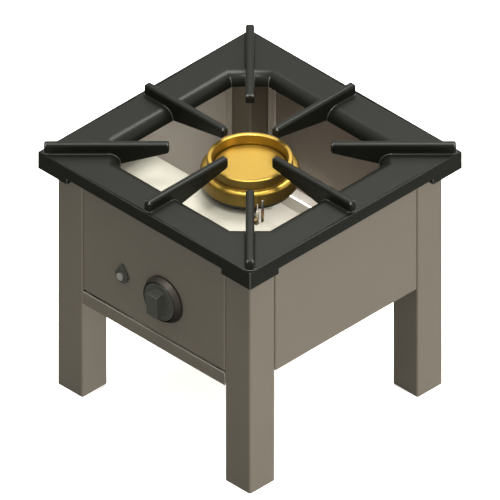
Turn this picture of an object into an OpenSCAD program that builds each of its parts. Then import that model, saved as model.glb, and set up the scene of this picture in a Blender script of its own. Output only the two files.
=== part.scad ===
// Free-standing stock pot range: a stool of square steel tube closed with sheet pans, which
// carries one large gas burner under a heavy cast pan support. Millimetres, +Z up, the
// control side faces -Y, and the origin lies on the floor under the burner's axis.

/* [Frame] */
// Distance between the outer faces of two opposite legs
frame_w = 385; // [378:1:392]
// Side of the square leg tube
leg_w = 50; // [47:1:52]
// Wall of the leg tube
leg_wall = 2; // [1.5:0.1:2.5]
// Outside corner radius of the leg tube
leg_corner_r = 3; // [2.8:0.1:6]
// Height of the leg tops above the floor
leg_h = 372; // [368:1:380]
// Thickness of the plate welded into the top of each leg
leg_plate_t = 4; // [3:0.5:6]
// Closed face of the plug in the foot of each leg
plug_t = 3; // [2:0.5:5]
// Height of the foot plug
plug_h = 18; // [12:1:30]
// Wall of the foot plug's skirt
plug_wall = 2.2; // [1.5:0.1:3]
// Play of the plates and plugs inside the tube
tube_play = 0.2; // [0.1:0.05:0.4]

/* [Side sheets] */
// Thickness of the bent sheet steel
sheet_t = 1.5; // [1:0.1:1.8]
// Outside radius of the bends
bend_r = 3; // [2.5:0.1:4]
// Depth of the flanges bent inwards round each sheet
flange_d = 15; // [13:0.5:17]
// Height of the side sheets
sheet_h = 183; // [177:0.5:185]
// Gap between a side sheet and a leg
sheet_gap = 0.5; // [0.3:0.1:0.7]
// Distance of the rivets from the upper and lower edge of a sheet
rivet_inset = 22; // [18:1:26]

/* [Drip tray] */
// Gap between the front sheet and the tray's front below it
tray_top_gap = 4.9; // [4:0.1:12]
// Height of the tray's walls and front
tray_h = 21.2; // [18:0.1:22]
// Gap between the tray's front and the legs
tray_gap = 0.5; // [0.3:0.1:1]
// Gap between the tray's side walls and the legs
tray_side_gap = 4.5; // [4:0.1:6]
// Distance from the rear sheet's outer face to the tray's back
tray_rear_gap = 13.2; // [10:0.1:16]
// Width of the runner's ledge
runner_w = 18.5; // [14:0.5:26]
// Height of the runner's upright side
runner_h = 19.9; // [16:0.1:21]
// Gap between the tray and its runners
runner_play = 0.3; // [0.2:0.05:0.6]

/* [Pan support] */
// How far the casting reaches over the legs' outer faces
overhang = 19.5; // [17.5:0.5:22.5]
// Depth of the casting's rim
rim_t = 20; // [19:0.5:24]
// Height of the corner pads below the rim
pad_h = 9; // [6:0.5:12]
// Side of the corner pads
pad_w = 58; // [54:1:62]
// Wall of the casting
cast_wall = 8; // [6:0.5:10]
// Radius of the large roll round the opening
roll_r = 17.5; // [15:0.5:18.5]
// Width of the flat rim outside the crest of the roll
rim_w = 47; // [44:0.5:49]
// How far the octagon's short sides cut the corners of the opening
roll_cut = 47; // [42:1:52]
// Height of the fingers above the plate
finger_h = 16; // [13:0.5:20]
// Thickness of the fingers
finger_t = 12.5; // [11:0.5:14]
// Rounding of the fingers' edges
finger_r = 4.5; // [3:0.25:5]
// Distance of the long fingers' tips from the burner's axis
long_tip = 48; // [40:1:56]
// Distance of the corner fingers' tips from the burner's axis
corner_tip = 114; // [106:1:122]
// Fillet between the fingers and the plate
root_r = 2.5; // [1.5:0.25:3.5]
// Rounding of the plate's outer edges
plate_edge_r = 1.5; // [1:0.25:2.5]
// Radius of the locating spigots under the pads
spigot_r = 7; // [5:0.5:9]
// Length of the locating spigots
spigot_h = 8; // [5:0.5:12]
// Play of a spigot in the leg plate
spigot_play = 1.5; // [1:0.25:2.5]

/* [Burner] */
// Radius of the brass ring's outer wall
crown_r = 70.5; // [69:0.5:72]
// How far the brass ring's skirt hangs down round the burner body
skirt_drop = 1.9; // [1:0.1:3]
// Height of the brass ring up to its bevel
crown_h = 17.7; // [16:0.1:19]
// Width and height of the bevel
bevel = 4.5; // [3:0.25:5]
// Width of the shoulder from the outer wall in to the upper ring
shoulder_w = 9.7; // [9:0.1:11]
// Wall of the upper ring
ring_wall = 6.8; // [5:0.2:8]
// Height of the upper ring above the bevelled ring
ring_h = 15.4; // [12:0.2:17]
// Rounding of the upper ring's edges
ring_edge_r = 1.6; // [1:0.2:2.4]
// Gap round the burner cap
cap_gap = 1.5; // [1:0.25:2]
// Thickness of the burner cap
cap_t = 6; // [5:0.5:7]
// Wall of the brass ring's skirt
skirt_t = 3.3; // [3:0.1:4]
// Height of the cast burner body
dish_h = 11; // [10:0.5:12]
// Wall of the cast burner body
dish_wall = 4; // [3:0.5:5]
// Outer radius of the mixing tube
mix_r = 17; // [16:0.5:18]
// Wall of the mixing tube
mix_wall = 3.5; // [3:0.5:4.5]
// Depth of the mixing tube's axis below the leg tops
mix_drop = 72; // [70:0.5:74]
// Radius of the bend below the burner
mix_bend = 30; // [28:0.5:32]
// Thickness of the mixing tube's shoulder
shoulder_t = 4; // [3:0.5:5]
// Length of the burner body's neck
neck_h = 11; // [9:0.5:13]
// Distance of the mixing tube's mouth behind the front sheet's outer face
mouth_back = 70.5; // [68.5:0.5:72.5]
// Radius of the bell mouth
mouth_r = 24; // [22:0.5:26]
// Length of the bell mouth
mouth_l = 10; // [8:0.5:14]
// Width of the flame slots under the brass ring and under the cap
slot_w = 2; // [1.5:0.25:2.5]
// Height of the flame slots
slot_h = 2; // [1.5:0.25:2.5]
// Number of flame slots in the ring, and in the cap
slot_count = 36; // [24:1:40]

/* [Heat shield and rail] */
// Depth of the heat shield's upper face below the leg tops
shield_drop = 32; // [30:0.5:34]
// Distance of the shield's rear edge in front of the burner's axis
shield_y = 40.5; // [39:0.25:42]
// Depth of the shield's rear flange
shield_lip = 12; // [8:0.5:14]
// Gap between the shield and the side sheets
shield_gap = 0.6; // [0.4:0.1:0.9]
// Height of the shield's side flanges over the rail
shield_step = 6; // [5:0.25:7]
// Depth of the rail's two webs
rail_h = 12; // [10:0.5:12.5]
// Distance from the rail's rear edge to the pilot burner's axis
rail_gap = 10; // [9:0.5:11]
// Width of the rail
rail_w = 26; // [24:0.5:28]
// Thickness of the rail
rail_t = 2; // [1.5:0.1:2.5]
// Depth of the rail's end flanges
rail_end_h = 22; // [16:1:26]

/* [Gas valve] */
// Sideways place of the control's axis
valve_x = 21.6; // [18:0.1:24]
// Depth of the controls' axes below the leg tops
control_drop = 119; // [116:0.5:122]
// Radius of the valve's barrel
valve_r = 16; // [15.5:0.25:17]
// Length of the valve's barrel
valve_l = 37; // [36:0.5:40]
// Thickness of the bonnet behind the front sheet
bonnet_t = 7; // [6:0.5:8]
// Radius of the turning plug
plug_r = 10; // [9.5:0.1:10.4]
// Running clearance of plug and spindle
run_gap = 0.05; // [0.03:0.01:0.08]
// Length of the turning plug
turn_l = 28.5; // [27:0.5:30]
// Distance of the gas ports behind the bonnet's rear face
port_y = 21; // [20:0.5:22]
// Radius of the spindle
spindle_r = 4; // [3.5:0.1:4.5]
// Depth of the flat on the spindle
spindle_flat = 1; // [0.8:0.1:1.4]
// Travel of the spindle when the knob is pushed in
knob_travel = 3; // [2:0.25:3.5]
// Distance of the valve's fixing screws from its axis
ear_x = 24; // [23:0.25:25]

/* [Control knob] */
// Radius of the bezel
bezel_r = 36.5; // [35:0.5:39]
// Height of the bezel's straight rim
bezel_rim = 3; // [2:0.25:4]
// How far the bezel stands out of the sheet
bezel_h = 11; // [9.5:0.5:13]
// Radius of the knob's base
hub_r = 29.7; // [28.5:0.1:30]
// Thickness of the knob's base
hub_t = 5; // [4:0.25:5.5]
// Gap between the knob's base and the bezel
hub_gap = 0.8; // [0.5:0.1:1.2]
// Gap between the base and the bezel's floor
hub_lift = 7; // [6.5:0.1:7.5]
// Width of the grip bar
grip_w = 20.5; // [18:0.5:24]
// Length of the grip bar across the knob
grip_l = 41; // [37:0.5:46]
// How far the grip bar stands out of the base
grip_d = 14.5; // [12:0.25:16]
// Rounding of the grip bar's corners
grip_r = 3; // [2:0.25:4]
// How much lower the grip's front edge is at each end
grip_slope = 3; // [2:0.25:5]

/* [Igniter] */
// Sideways place of the igniter's axis
igniter_x = -61.5; // [-66:0.5:-58]
// Radius of the igniter's threaded barrel
igniter_r = 9; // [8.5:0.25:10]
// Length of the igniter's barrel
igniter_l = 40; // [34:1:44]
// Radius of the round part of the collar
collar_r = 12; // [11.5:0.25:13]
// Height of the collar's point above its centre
collar_tip = 20; // [18:0.5:23]
// Thickness of the collar
collar_t = 4; // [3:0.25:4.5]
// Radius of the push button
button_r = 6; // [5:0.25:6.5]
// How far the button stands out of the sheet
button_out = 8; // [7.5:0.25:9]
// Travel of the button
button_travel = 4; // [3:0.25:4]

/* [Pilot group] */
// Direction of the electrode from the burner's axis, in degrees in front of the right side
pilot_angle = 36.714; // [35:0.001:38]
// Distance from the brass ring's outer wall to the electrode's axis
spark_gap = 3.1; // [3:0.1:4]
// Half the distance between the two probes
probe_half = 5; // [4.5:0.25:6]
// Distance of the pilot burner in front of the probes
pilot_lead = 10; // [9:0.5:11]
// Height of the thermocouple's tip above the heat shield
thermo_rise = 32; // [26:0.5:36]
// Height of the electrode's tip above the heat shield
spark_rise = 21; // [16:0.5:26]

/* [Gas pipes] */
// Radius of the inlet pipe
inlet_pipe_r = 7.5; // [6:0.25:8]
// Distance of the gas inlet from the rear leg
inlet_side = 24.5; // [23.5:0.5:30]
// Radius of the male thread at the gas inlet
inlet_r = 10.48; // [9.5:0.01:11]
// Length of the male thread at the gas inlet
inlet_l = 19; // [16:0.5:24]
// Radius of the burner's gas pipe
burner_pipe_r = 5; // [4:0.25:5.5]
// Radius of the pilot's gas pipe
pilot_pipe_r = 2; // [1.5:0.1:2.5]
// Radius of the thermocouple's lead
thermo_lead_r = 1.5; // [1:0.1:1.8]
// Radius of the ignition lead
spark_lead_r = 2; // [1.5:0.1:2.4]
// Wall of the gas pipes
pipe_wall = 1; // [0.7:0.1:1.2]

/* [Hidden] */
$fn = 64;

steel = "#878377";
dark_steel = "#57534a";
iron = "#3a3b35";
brass_tone = "#e6b94d";
black = "#20211b";
pale = "#d8d2c6";

// One overrun serves every cut
over = 1;
// Three quarter turns carry the first leg and sheet round to the others
QUARTER = 90;
half = frame_w/2;
bay = half - leg_w;
leg_mid = half - leg_w/2;
sheet_in = half - sheet_t;
sheet_bottom_z = leg_h - sheet_h;
tube_in = leg_w - 2*leg_wall;
tube_in_r = leg_corner_r - leg_wall;

// Rivets, from the leg's face
rivet_r = 2;
rivet_play = 0.1;
rivet_head_r = 4;
rivet_head_h = 1.2;
rivet_tail_r = 2.8;
rivet_tail_h = 3;
rivet_z = [sheet_bottom_z + rivet_inset, leg_h - rivet_inset];
sheet_grip = sheet_gap + sheet_t;
rivet_y = half - flange_d/2;

// Tray and runners
tray_z = sheet_bottom_z - tray_top_gap - tray_h;
tray_half = bay - tray_side_gap;
tray_front_half = bay - tray_gap;
tray_back = half - tray_rear_gap;
runner_top = tray_z - runner_play;
runner_z = runner_top - sheet_t;
runner_rivet_z = runner_z + runner_h/2 + sheet_t;
runner_rivet_y = leg_mid;
runner_front = half - 2*bend_r;
runner_stop_h = runner_h*2/3;

// Pan support
rim_z = leg_h + pad_h;
plate_z = rim_z + rim_t;
finger_top = plate_z + finger_h;
top_half = half + overhang;
top_w = 2*top_half;
roll_half = top_half - rim_w;
cut_half = (2*roll_half - roll_cut)/sqrt(2);
lip_half = roll_half - roll_r;
cut_lip = cut_half - roll_r;
lip_z = plate_z - roll_r;
// The corner fingers end where their width still fits in the plate's corner
corner_end = top_half*sqrt(2) - finger_t*2/3;

// Burner, stacked up from the mixing tube's axis
mix_z = leg_h - mix_drop;
mouth_y = half - mouth_back;
shoulder_z = mix_z + mix_bend;
neck_z = shoulder_z + shoulder_t;
dish_z = neck_z + neck_h;
seat_z = dish_z + dish_h;
crown_z = seat_z - skirt_drop;
bevel_z = crown_z + crown_h;
crown_top = bevel_z + bevel;
ring_top = crown_top + ring_h;
ring_r = crown_r - shoulder_w;
ring_in = ring_r - ring_wall;
cap_r = ring_in - cap_gap;
cap_z = crown_top - cap_t;
ledge_t = 4;
ledge_w = 6;
flame_gap = 1.2;
skirt_in = crown_r - skirt_t;
dish_r = skirt_in - flame_gap;
crown_in = dish_r - dish_wall;
neck_play = 0.2;
neck_r = 24;
cap_bevel = 1;
cap_spigot_h = 6;
cap_spigot_t = 3.5;
dish_bevel = 3;
riser_in = neck_h*2/3;
mix_in = mix_r - mix_wall;

// The pilot group stands just outside the brass ring, and the rail in front of it
electrode_reach = crown_r + spark_gap;
pilot_x = electrode_reach*cos(pilot_angle) + probe_half;
probe_y = electrode_reach*sin(pilot_angle);
pilot_y = probe_y + pilot_lead;

// Rail and shield, down from the shield's face
shield_z = leg_h - shield_drop;
rail_rear = pilot_y + rail_gap;
rail_y = rail_rear + rail_w;
shield_under = shield_z - sheet_t;
rail_top = shield_under - shield_step;
rail_under = rail_top - rail_t;
rail_mid = rail_y - rail_w/2;
shield_half = sheet_in - shield_gap;
shield_neck = bay - sheet_grip - sheet_gap;
tab_h = 16;
tab_l = 22;
tab_y = leg_mid - leg_w/10;
tab_screw_z = shield_under - tab_h/2;
notch_half = 9.5;
notch_front = 6.5;
notch_d = pilot_y + notch_front - shield_y;
bracket_rest = 22;

// Small screws and bolts
screw_r = 1.9;
screw_play = 0.1;
screw_head_r = 3.6;
screw_head_h = 2.4;
screw_l = 9;
bolt_r = 3;
bolt_head_r = 5.6;
bolt_head_h = 4;
bolt_l = 13;
bolt_x = 22;
bolt_play = 0.3;

// Saddle on the mixing tube, under the rail
saddle_gap = 0.5;
saddle_half = 30;
saddle_t = 8.5;
saddle_web = 12;
saddle_front = rail_y - rail_t - saddle_gap;
saddle_rear = rail_rear + rail_t + saddle_gap;

// Gas valve, back from the front sheet's inner face
front_in = -sheet_in;
control_z = leg_h - control_drop;
bonnet_y = front_in + bonnet_t;
valve_end = bonnet_y + valve_l;
port_plane = bonnet_y + port_y;
turn_gap = 0.5;
turn_y = bonnet_y + turn_gap;
port_bore = 4;
bonnet_ear_r = 7;
inlet_bore = 5;
pilot_bore = 1.2;
bonnet_screw_z = 13;
bonnet_screw_r = 1.4;
bonnet_head_r = 2.8;
bonnet_head_h = 2;
bonnet_screw_l = 14;
panel_hole_r = bonnet_screw_z + bonnet_head_r + turn_gap;
inlet_boss_r = 11;
inlet_boss_l = 34;
outlet_boss_r = 8;
outlet_boss_l = 26;
pilot_boss_r = 5;
pilot_boss_l = 24;
magnet_r = 8;
magnet_l = 9;

// Control knob, out from the front sheet's outer face
front_out = -half;
bezel_floor = 1;
bezel_lip = 1;
bezel_in = hub_r + hub_gap;
hub_y = front_out - hub_lift;
hub_front = hub_y - hub_t;
grip_front = hub_front - grip_d;
grip_cover = 4;
spindle_front = grip_front + grip_cover;
bore_gap = 0.3;
hub_bevel = 1;
key_l = 7.5;
spindle_end = turn_y + key_l;
spring_r = 8;
spring_wall = 3;
clip_t = 0.6;
clip_w = 3;
clip_l = 10;
knob_play = 0.06;

// Igniter
igniter_play = 0.2;
button_play = 0.06;
button_l = 28;
pressed_spring_l = 6;
button_bore_l = button_l - button_out + button_travel + pressed_spring_l;
igniter_spring_r = 5;
igniter_spring_wall = 1;
button_hole_play = 0.25;
terminal_r = 2.5;
terminal_l = 8;
igniter_nut_r = 14;
nut_t = 5;
button_edge = 0.8;

// Injector group, along the mixing tube's axis
holder_half = 11;
holder_l = 16;
holder_end = port_plane + holder_l/2;
barrel_r = 8;
barrel_l = 25;
barrel_end = holder_end + barrel_l;
bracket_t = 2;
bracket_half = 12;
bracket_tail = 14;
holder_nut_r = 12.5;
holder_bore = 3;
holder_boss_r = 7;
holder_boss_l = 18;
nozzle_hex_r = 6;
nozzle_hex_l = 3;
nozzle_r = 3.5;
nozzle_tip_r = 2;
nozzle_l = 6;
nozzle_bore = 1;
shutter_gap = 1;
shutter_y = holder_end + bracket_t + nut_t + shutter_gap;
shutter_hub_r = 12;
shutter_hub_l = 10;
shutter_r = 26;
shutter_t = 2;
thumb_y = 4.5;
thumb_r = 2;
thumb_head_r = 4;
thumb_head_h = 4;
thumb_gap = 0.3;

// Pilot group
thermo_top = shield_z + thermo_rise;
spark_top = shield_z + spark_rise;
pilot_plate_t = 1.5;
pilot_plate_z = rail_top - rail_h;
pilot_plate_half = 14;
pilot_plate_lip = 6;
pilot_plate_rear = probe_y - pilot_plate_lip;
pilot_play = 0.2;
pilot_arm_h = 10.5;
pilot_stem_r = 3;
pilot_collar_r = 5;
pilot_collar_h = 2.5;
pilot_hood_r = 4.5;
pilot_stem_h = 17.5;
pilot_hood_h = 6;
pilot_tail = 4;
probe_r = 2;
probe_tip_r = 1.5;
probe_tip_h = 8;
probe_collar_r = 3.2;
probe_collar_h = 4;
spark_r = 2.2;
spark_wire_r = 0.8;
spark_wire_h = 12;
pilot_nut_r = [5.5, 4.4, 4.6];
pilot_nut_t = 3;
// Places for the pilot burner, the thermocouple and the electrode
pilot_places = [
    [pilot_x, -pilot_y], [pilot_x + probe_half, -probe_y], [pilot_x - probe_half, -probe_y]
];
pilot_stems = [pilot_stem_r, probe_r, spark_r];
pilot_foot = pilot_plate_z - pilot_plate_t - pilot_tail;

// Gas pipes
pipe_play = 0.1;
pipe_bend = 10;
inlet_bend = 20;
lead_bend = 7;
loop_x = -42;
pilot_rise = 13;
valve_left = valve_x - outlet_boss_l;
valve_right = valve_x + inlet_boss_l;
valve_up = control_z + pilot_boss_l;
pilot_run_z = valve_up + pilot_rise;
thermo_run = 33;
thermo_y = -valve_end - magnet_l - thermo_run;
spark_run = 34.5;
spark_y = -front_out - igniter_l - terminal_l - spark_run;
inlet_x = bay - inlet_side;
spark_drop = 17;
pipe_nut_t = 8;
burner_nut_r = 9;
inlet_nut_r = 13;
fit_flange_r = 17;
fit_flange_t = 4;
fit_hex_r = 14;
fit_hex_l = 12;
fit_barrel_r = 13;
fit_play = 0.3;
fit_shoulder = 1;
locknut_r = 18;
locknut_t = 6.5;
fit_barrel_end = half + locknut_t + fit_shoulder;
inlet_end = fit_barrel_end + inlet_l;
fit_start = sheet_in - fit_flange_t - fit_hex_l;

function unit(v) = v/norm(v);

// Turns the front right place round to each leg, and the front sheet to each side
module turned(k) { rotate([0, 0, k*QUARTER]) children(); }
// Points a shape's +Z backwards, to the right or down
module to_back(x, y, z) { translate([x, y, z]) rotate([-90, 0, 0]) children(); }
module to_right(x, y, z) { translate([x, y, z]) rotate([0, 90, 0]) children(); }
module to_front(x, y, z) { translate([x, y, z]) rotate([90, 0, 0]) children(); }
// Extrudes a drawing in X and Z along Y, to both sides of the middle
module across(l) { rotate([90, 0, 0]) linear_extrude(height = l, center = true) children(); }
module tube(r, wall, h) {
    difference() {
        cylinder(r = r, h = h);
        translate([0, 0, -over]) cylinder(r = r - wall, h = h + 2*over);
    }
}
module hexagon(r, h) { cylinder(r = r, h = h, $fn = 6); }
module hex_nut(r, bore, h) {
    difference() {
        hexagon(r, h);
        translate([0, 0, -over]) cylinder(r = bore, h = h + 2*over);
    }
}
module round_square(w, r) {
    square([w, w - 2*r], center = true);
    square([w - 2*r, w], center = true);
    for (i = [-1, 1], j = [-1, 1]) translate([i, j]*(w/2 - r)) circle(r = r);
}
// A plan with rounded corners in front, from y0 backwards
module front_rounded(w, y0, d, r) {
    translate([-(w - r), y0]) square([2*(w - r), d]);
    translate([-w, y0 + r]) square([2*w, d - r]);
    for (s = [-1, 1]) translate([s*(w - r), y0 + r]) circle(r = r);
}
// A pipe through points, with a quarter bend at each inner point
module pipe_run(pts, r, bend) {
    last = len(pts) - 1;
    for (i = [0:last - 1]) {
        u = unit(pts[i + 1] - pts[i]);
        from = i == 0 ? 0 : bend;
        to = i == last - 1 ? 0 : bend;
        side = abs(u.z) > abs(u.x) ? [1, 0, 0] : [0, 0, 1];
        e = unit(cross(side, u));
        f = cross(u, e);
        p = pts[i] + u*from;
        multmatrix([[e.x, f.x, u.x, p.x], [e.y, f.y, u.y, p.y], [e.z, f.z, u.z, p.z]])
            cylinder(r = r, h = norm(pts[i + 1] - pts[i]) - from - to);
    }
    if (last > 1) for (i = [1:last - 1]) {
        u = unit(pts[i] - pts[i - 1]);
        v = unit(pts[i + 1] - pts[i]);
        w = cross(u, v);
        c = pts[i] - u*bend + v*bend;
        multmatrix([[-v.x, u.x, w.x, c.x], [-v.y, u.y, w.y, c.y], [-v.z, u.z, w.z, c.z]])
            rotate_extrude(angle = 90) translate([bend, 0]) circle(r = r);
    }
}
module hollow_run(pts, r, wall, bend) {
    difference() {
        pipe_run(pts, r, bend);
        pipe_run(pts, r - wall, bend);
    }
}

// Places for the rivets of one flange of one sheet, on the leg's face and pointing into it
module at_rivets(k, s) {
    for (z = rivet_z) turned(k) translate([s*bay, -rivet_y, z]) rotate([0, s*90, 0]) children();
}
module at_runner_rivets(s) {
    for (j = [-1, 1]) translate([s*bay, j*runner_rivet_y, runner_rivet_z])
        rotate([0, s*90, 0]) children();
}
module rivet(grip) {
    translate([0, 0, -grip - rivet_head_h]) cylinder(r = rivet_head_r, h = rivet_head_h);
    translate([0, 0, -grip]) cylinder(r = rivet_r, h = grip + leg_wall);
    translate([0, 0, leg_wall]) cylinder(r = rivet_tail_r, h = rivet_tail_h);
}
module rivet_hole(grip) {
    translate([0, 0, -grip - over])
        cylinder(r = rivet_r + rivet_play, h = grip + leg_wall + 2*over);
}
module leg(k, s) {
    color(steel) difference() {
        turned(k) translate([leg_mid, -leg_mid, 0]) difference() {
            linear_extrude(height = leg_h) round_square(leg_w, leg_corner_r);
            translate([0, 0, -over]) linear_extrude(height = leg_h + 2*over)
                round_square(tube_in, tube_in_r);
        }
        at_rivets(k, 1) rivet_hole(sheet_grip);
        at_rivets((k + 1) % 4, -1) rivet_hole(sheet_grip);
        at_runner_rivets(s) rivet_hole(sheet_t);
        if (k == 0 || k == 3) at_tab_screw(s) screw_hole();
    }
}
module at_tab_screw(s) {
    translate([s*bay, -tab_y, tab_screw_z]) rotate([0, s*90, 0]) children();
}
module screw_hole() {
    translate([0, 0, -sheet_t - over])
        cylinder(r = screw_r + screw_play, h = sheet_t + leg_wall + 2*over);
}
module leg_front_right() { leg(0, 1); }
module leg_rear_right() { leg(1, 1); }
module leg_rear_left() { leg(2, -1); }
module leg_front_left() { leg(3, -1); }
module foot_plugs() {
    w = tube_in - 2*tube_play;
    color(black) for (k = [0:3]) turned(k) translate([leg_mid, -leg_mid, 0]) difference() {
        linear_extrude(height = plug_h) round_square(w, tube_in_r);
        translate([0, 0, plug_t]) linear_extrude(height = plug_h)
            square(w - 2*plug_wall, center = true);
    }
}
module leg_top_plates() {
    color(steel) for (k = [0:3]) turned(k)
        translate([leg_mid, -leg_mid, leg_h - leg_plate_t]) difference() {
            linear_extrude(height = leg_plate_t) round_square(tube_in - 2*tube_play, tube_in_r);
            translate([0, 0, -over]) cylinder(r = spigot_r + spigot_play, h = leg_plate_t + 2*over);
        }
}

module side_sheet(k) {
    w = bay - sheet_gap;
    h = leg_h - sheet_bottom_z;
    color(k == 0 ? dark_steel : steel) difference() {
        turned(k) translate([0, 0, sheet_bottom_z]) difference() {
            linear_extrude(height = h) front_rounded(w, -half, flange_d, bend_r);
            translate([0, 0, sheet_t]) linear_extrude(height = h - 2*sheet_t)
                front_rounded(w - sheet_t, -sheet_in, flange_d, bend_r - sheet_t);
        }
        for (s = [-1, 1]) at_rivets(k, s) rivet_hole(sheet_grip);
        children();
    }
}
module front_panel() {
    deep = sheet_t + 2*over;
    side_sheet(0) {
        to_back(valve_x, front_out - over, control_z) cylinder(r = panel_hole_r, h = deep);
        for (s = [-1, 1]) to_back(valve_x + s*ear_x, front_out - over, control_z)
            cylinder(r = screw_r + screw_play, h = deep);
        to_back(igniter_x, front_out - over, control_z)
            cylinder(r = igniter_r + igniter_play, h = deep);
    }
}
module right_panel() { side_sheet(1); }
module back_panel() {
    side_sheet(2) to_back(inlet_x, sheet_in - over, control_z)
        cylinder(r = fit_barrel_r + fit_play, h = sheet_t + 2*over);
}
module left_panel() { side_sheet(3); }
module panel_rivets() {
    color(steel) for (k = [0:3], s = [-1, 1]) at_rivets(k, s) rivet(sheet_grip);
}

module runner(s) {
    color(steel) difference() {
        union() {
            translate([s > 0 ? bay - sheet_t : -bay, -runner_front, runner_z])
                cube([sheet_t, runner_front + tray_back + runner_play + sheet_t, runner_h]);
            translate([s > 0 ? bay - runner_w : -bay, -runner_front, runner_z])
                cube([runner_w, runner_front + tray_back + runner_play + sheet_t, sheet_t]);
            translate([s > 0 ? bay - runner_w : -bay, tray_back + runner_play, runner_z])
                cube([runner_w, sheet_t, runner_stop_h]);
        }
        at_runner_rivets(s) rivet_hole(sheet_t);
    }
}
module tray_runner_right() { runner(1); }
module tray_runner_left() { runner(-1); }
module runner_rivets() { color(steel) for (s = [-1, 1]) at_runner_rivets(s) rivet(sheet_t); }
module drip_tray() {
    color(pale) difference() {
        union() {
            translate([-tray_front_half, -half, tray_z])
                cube([2*tray_front_half, sheet_t, tray_h]);
            translate([-tray_half, -sheet_in, tray_z])
                cube([2*tray_half, sheet_in + tray_back, tray_h]);
        }
        translate([-tray_half + sheet_t, -sheet_in, tray_z + sheet_t])
            cube([2*(tray_half - sheet_t), sheet_in + tray_back - sheet_t, tray_h]);
    }
}

// One straight side of the opening, rolled over along its edge; it fills outwards from there
module rolled_side(angle, dist, drop, low) {
    r = roll_r - drop;
    top = plate_z - drop;
    rotate([0, 0, angle]) across(2*top_w) {
        translate([dist, rim_z - low]) square([top_w, top - rim_z + low]);
        intersection() {
            translate([dist, lip_z]) circle(r = r);
            translate([dist - r, lip_z - low]) square([r + over, r + low]);
        }
    }
}
module rolled_sides(drop, low) {
    for (i = [0:3]) {
        rolled_side(i*QUARTER, roll_half, drop, low);
        rolled_side((i + 1/2)*QUARTER, cut_half, drop, low);
    }
}
module corner_pads() {
    for (k = [0:3]) turned(k) translate([top_half - pad_w, -top_half, leg_h])
        cube([pad_w, pad_w, plate_z - leg_h - cast_wall/2]);
}
// The casting's outer faces and its rounded upper edge
module plate_outline() {
    r = plate_edge_r;
    intersection_for(a = [0, QUARTER]) rotate([0, 0, a]) across(2*top_w) {
        translate([-top_half, leg_h]) square([top_w, plate_z - r - leg_h]);
        translate([r - top_half, leg_h]) square([top_w - 2*r, plate_z - leg_h]);
        for (s = [-1, 1]) translate([s*(top_half - r), plate_z - r]) circle(r = r);
    }
}
module plate() {
    inner = top_w - 2*cast_wall;
    intersection() {
        union() {
            difference() {
                rolled_sides(0, 0);
                intersection() {
                    rolled_sides(cast_wall, over);
                    translate([0, 0, plate_z]) cube([inner, inner, 2*rim_t + 2*over], center = true);
                }
            }
            corner_pads();
        }
        plate_outline();
    }
}
// A finger from its side, level on top, with rounded ends and a foot that grows out of the roll
module finger_side(tip, end, crest, lip) {
    r = finger_r;
    low = plate_z - root_r;
    polygon([
        [tip, plate_z + r], [tip, finger_top - r], [tip + r, finger_top],
        [end - r, finger_top], [end, finger_top - r], [end, low], [crest, low],
        [lip + cast_wall/2, lip_z], [lip, lip_z], [tip + r, plate_z]
    ]);
    translate([tip + r, plate_z + r]) circle(r = r);
    for (x = [tip + r, end - r]) translate([x, finger_top - r]) circle(r = r);
}
module finger_section() {
    r = finger_r;
    translate([-finger_t/2, rim_z]) square([finger_t, finger_top - r - rim_z]);
    translate([r - finger_t/2, rim_z]) square([finger_t - 2*r, finger_top - rim_z]);
    for (s = [-1, 1]) translate([s*(finger_t/2 - r), finger_top - r]) circle(r = r);
}
module finger_plan(tip, end) {
    r = finger_r;
    translate([tip, r - finger_t/2]) square([end - tip, finger_t - 2*r]);
    translate([tip + r, -finger_t/2]) square([end - tip - 2*r, finger_t]);
    for (x = [tip + r, end - r], s = [-1, 1]) translate([x, s*(finger_t/2 - r)]) circle(r = r);
}
module finger(angle, tip, end, crest, lip) {
    rotate([0, 0, angle]) {
        intersection() {
            across(finger_t) finger_side(tip, end, crest, lip);
            translate([tip, 0, 0]) rotate([90, 0, 90])
                linear_extrude(height = end - tip) finger_section();
            translate([0, 0, rim_z]) linear_extrude(height = finger_top - rim_z)
                finger_plan(tip, end);
        }
        for (s = [-1, 1]) translate([crest, s*finger_t/2, plate_z]) rotate([90, 0, 90])
            linear_extrude(height = end - finger_r - crest) difference() {
                square([2*root_r, 2*root_r], center = true);
                translate([s*root_r, root_r]) circle(r = root_r);
            }
    }
}
module pan_support() {
    color(iron) {
        plate();
        for (i = [0:3]) {
            finger(i*QUARTER, long_tip, top_half - finger_r, roll_half, lip_half);
            finger((i + 1/2)*QUARTER, corner_tip, corner_end, cut_half, cut_lip);
            turned(i) translate([leg_mid, -leg_mid, leg_h - spigot_h])
                cylinder(r = spigot_r, h = spigot_h + over);
        }
    }
}

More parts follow.
